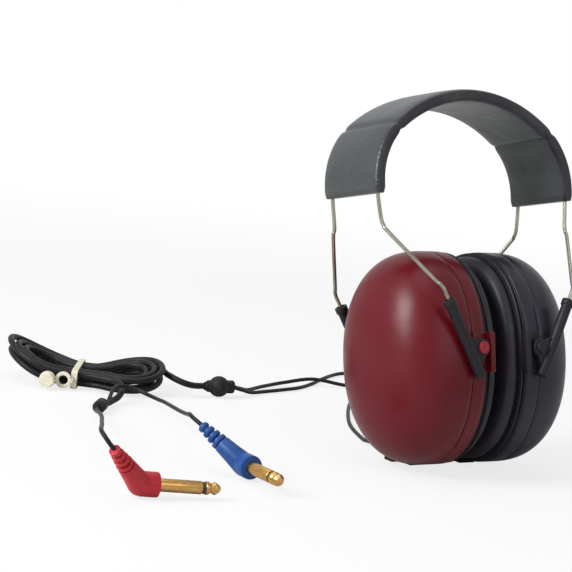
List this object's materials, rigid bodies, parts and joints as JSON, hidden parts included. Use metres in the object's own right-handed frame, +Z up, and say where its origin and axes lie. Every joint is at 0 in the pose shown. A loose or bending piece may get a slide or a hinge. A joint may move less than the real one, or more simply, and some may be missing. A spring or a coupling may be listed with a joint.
{
  "type": "audiometric headset",
  "caption": "Audiometric headset with a red and a blue noise-excluding ear cup on a sprung wire headband, a tied cable and angled red and blue jack plugs.",
  "frame": {"origin": "middle of the standing headset's box, on the surface it stands on; the trailing cords and plugs are left out of that box", "axes": "X runs through the ear cups with the red cup at -X, +Y towards the back, +Z up"},
  "size_m": [0.3444, 0.2762, 0.1973],
  "materials": {
    "red_shell_plastic": "polished dark red",
    "blue_shell_plastic": "polished blue-black",
    "black_plastic": "satin black",
    "black_rubber": "soft black rubber",
    "cord_black": "smooth flexible jacket",
    "spring_wire": "plain drawn wire",
    "sheath_vinyl": "soft grained vinyl",
    "cushion_vinyl": "soft smooth vinyl",
    "foam": "open-cell foam",
    "red_pin": "moulded red",
    "driver": "matte housing",
    "screw_steel": "plated",
    "tie_nylon": "cream nylon",
    "red_boot": "moulded red",
    "blue_boot": "moulded blue",
    "plug_gold": "polished gold plate"
  },
  "bodies": {
    "headband": {"band_cover": "sheath_vinyl", "band_foam": "foam", "front_band_wire": "spring_wire", "rear_band_wire": "spring_wire", "red_cup_lead": "cord_black", "blue_cup_lead": "cord_black", "lead_yoke": "black_rubber", "twin_cable": "cord_black", "cable_hank": "cord_black", "tail_cable": "cord_black", "hank_tie": "tie_nylon", "split_sleeve": "black_rubber", "red_plug_lead": "cord_black", "blue_plug_lead": "cord_black", "red_plug_boot": "red_boot", "red_plug_sleeve": "plug_gold", "red_plug_ring": "black_plastic", "red_plug_tip": "plug_gold", "blue_plug_boot": "blue_boot", "blue_plug_sleeve": "plug_gold", "blue_plug_ring": "black_plastic", "blue_plug_tip": "plug_gold"},
    "red_front_holder": {"red_front_holder": "black_plastic"},
    "red_rear_holder": {"red_rear_holder": "black_plastic"},
    "red_cup": {"red_shell": "red_shell_plastic", "red_rim_ring": "red_shell_plastic", "red_cushion_plate": "black_plastic", "red_ear_cushion": "cushion_vinyl", "red_dust_disc": "foam", "red_receiver_plate": "driver", "red_receiver": "driver", "red_receiver_screws": "screw_steel", "red_damping_foam": "foam", "red_cable_gland": "black_rubber", "red_strain_relief": "black_rubber", "red_shell_plug": "black_rubber", "red_front_bracket": "red_shell_plastic", "red_rear_bracket": "red_shell_plastic", "red_front_pin": "red_pin", "red_rear_pin": "red_pin"},
    "blue_front_holder": {"blue_front_holder": "black_plastic"},
    "blue_rear_holder": {"blue_rear_holder": "black_plastic"},
    "blue_cup": {"blue_shell": "blue_shell_plastic", "blue_rim_ring": "blue_shell_plastic", "blue_cushion_plate": "black_plastic", "blue_ear_cushion": "cushion_vinyl", "blue_dust_disc": "foam", "blue_receiver_plate": "driver", "blue_receiver": "driver", "blue_receiver_screws": "screw_steel", "blue_damping_foam": "foam", "blue_cable_gland": "black_rubber", "blue_strain_relief": "black_rubber", "blue_shell_plug": "black_rubber", "blue_front_bracket": "black_plastic", "blue_rear_bracket": "black_plastic", "blue_front_pin": "black_plastic", "blue_rear_pin": "black_plastic"}
  },
  "joints": [
    {"name": "red_front_slide", "type": "slide", "parent": "headband", "child": "red_front_holder", "axis": [0.4695, -0.2136, -0.8567], "range_m": [0, 0.016], "deforming": ["red_ear_cushion"]},
    {"name": "red_rear_slide", "type": "slide", "parent": "headband", "child": "red_rear_holder", "axis": [0.4695, -0.2136, -0.8567], "range_m": [0, 0.016]},
    {"name": "red_cup_hinge", "type": "hinge", "parent": "red_front_holder", "child": "red_cup", "pos_m": [-0.02, -0.00257, 0.06143], "axis": [0, 0.9703, -0.2419], "range_deg": [-2.5, 2.5]},
    {"name": "blue_front_slide", "type": "slide", "parent": "headband", "child": "blue_front_holder", "axis": [-0.4695, -0.2136, -0.8567], "range_m": [0, 0.016], "deforming": ["blue_ear_cushion"]},
    {"name": "blue_rear_slide", "type": "slide", "parent": "headband", "child": "blue_rear_holder", "axis": [-0.4695, -0.2136, -0.8567], "range_m": [0, 0.016]},
    {"name": "blue_cup_hinge", "type": "hinge", "parent": "blue_front_holder", "child": "blue_cup", "pos_m": [0.02, -0.00257, 0.06143], "axis": [0, 0.9703, -0.2419], "range_deg": [-2.5, 2.5]}
  ],
  "couplings": [
    {"joint": "red_rear_slide", "follows": "red_front_slide", "ratio": 1},
    {"joint": "blue_rear_slide", "follows": "blue_front_slide", "ratio": 1}
  ]
}
